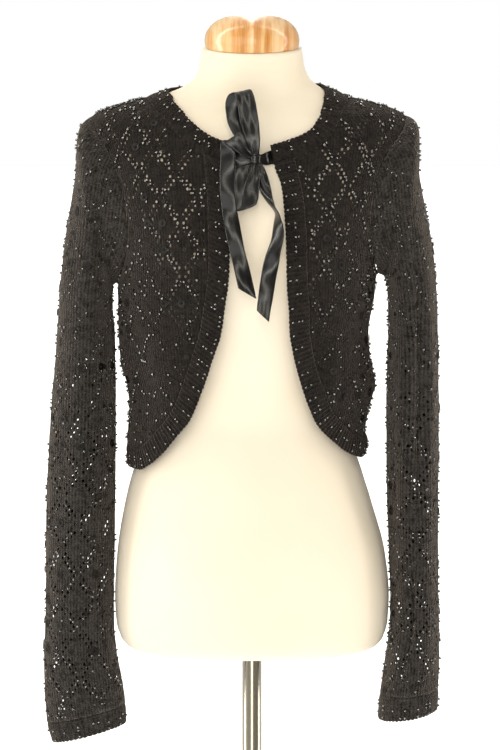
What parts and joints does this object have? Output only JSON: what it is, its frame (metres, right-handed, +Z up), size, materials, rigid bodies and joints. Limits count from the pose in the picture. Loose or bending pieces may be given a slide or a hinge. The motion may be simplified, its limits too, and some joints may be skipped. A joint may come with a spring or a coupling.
{
  "type": "lace cardigan on a limbless dress form",
  "caption": "Cropped long-sleeved black lace-knit cardigan with ribbed edges and a satin ribbon bow, worn open on a limbless cream dress form with a wooden neck cap and a round-based pole.",
  "frame": {"origin": "centre of the base plate's underside, where the stand meets the floor", "axes": "+Z up along the pole, -Y out of the chest, +X towards the wearer's left side"},
  "size_m": [0.4445, 0.32, 1.5173],
  "materials": {
    "knit": "black knitted wool lace",
    "rib": "black ribbed wool",
    "satin": "black satin",
    "jersey": "matt cream jersey",
    "wood": "varnished",
    "chrome": "polished",
    "plate": "powder coated"
  },
  "bodies": {
    "root": {"back": "knit", "front_right": "knit", "front_left": "knit", "sleeve_right": "knit", "sleeve_left": "knit", "cuff_right": "rib", "cuff_left": "rib", "band_neck": "rib", "band_front_right": "rib", "band_front_left": "rib", "band_hem": "rib", "ribbon_tie_right": "satin", "ribbon_tie_left": "satin", "ribbon_knot": "satin", "ribbon_loop_upper": "satin", "ribbon_loop_lower": "satin", "ribbon_tail_right": "satin", "ribbon_tail_left": "satin", "form_torso": "jersey", "neck_cap": "wood", "pole": "chrome", "base_plate": "plate"}
  },
  "joints": []
}
